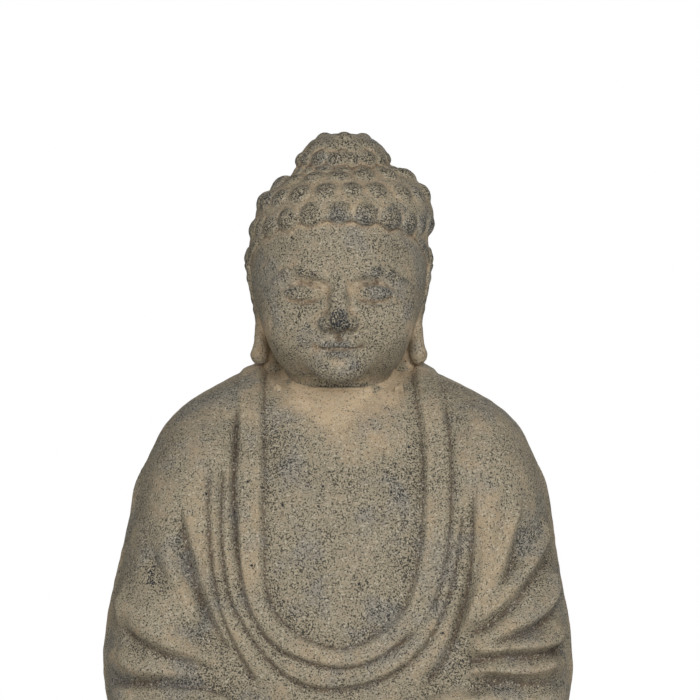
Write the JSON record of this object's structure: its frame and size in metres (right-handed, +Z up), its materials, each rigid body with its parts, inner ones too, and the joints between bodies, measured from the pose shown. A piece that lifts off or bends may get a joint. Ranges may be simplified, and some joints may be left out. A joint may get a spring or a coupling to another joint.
{
  "type": "seated buddha statue",
  "caption": "Hollow cast-stone figure seated in meditation, hands folded in the lap, on a low flat base closed by a plate underneath.",
  "frame": {"origin": "on the ground, in the middle of the base's bounding box", "axes": "+Z up, the figure looks along -Y, +X is towards its own left hand"},
  "size_m": [0.474, 0.312, 0.61],
  "materials": {
    "patina_stone": "matt, cast grey-black volcanic grit with a rubbed ochre patina",
    "bedding_mortar": "matt, sanded cement mortar",
    "fibre_strip": "matt, glass-fibre reinforced cement laid by hand",
    "galvanised_bar": "dull galvanised round bar",
    "tie_steel": "dark annealed wire",
    "stainless_fixing": "plain stainless",
    "nylon_plug": "grey moulded nylon",
    "cement_board": "matt pressed cement board",
    "seal_rubber": "matt black sealant",
    "pad_rubber": "matt black rubber"
  },
  "bodies": {
    "root": {"front_shell": "patina_stone", "back_shell": "patina_stone", "head_casting": "patina_stone", "hands_casting": "patina_stone", "seam_bed_left": "bedding_mortar", "seam_bed_right": "bedding_mortar", "joint_strip_left": "fibre_strip", "joint_strip_right": "fibre_strip", "neck_bed": "bedding_mortar", "neck_core_head": "bedding_mortar", "neck_core_body": "bedding_mortar", "neck_dowel": "galvanised_bar", "hoop_bar": "galvanised_bar", "cross_bar": "galvanised_bar", "tie_wires": "tie_steel", "bar_dabs": "bedding_mortar", "hands_bed": "bedding_mortar", "hand_pins": "stainless_fixing", "base_plate": "cement_board", "plate_seal": "seal_rubber", "plate_screws": "stainless_fixing", "wall_plugs": "nylon_plug", "foot_pads": "pad_rubber"}
  },
  "joints": []
}
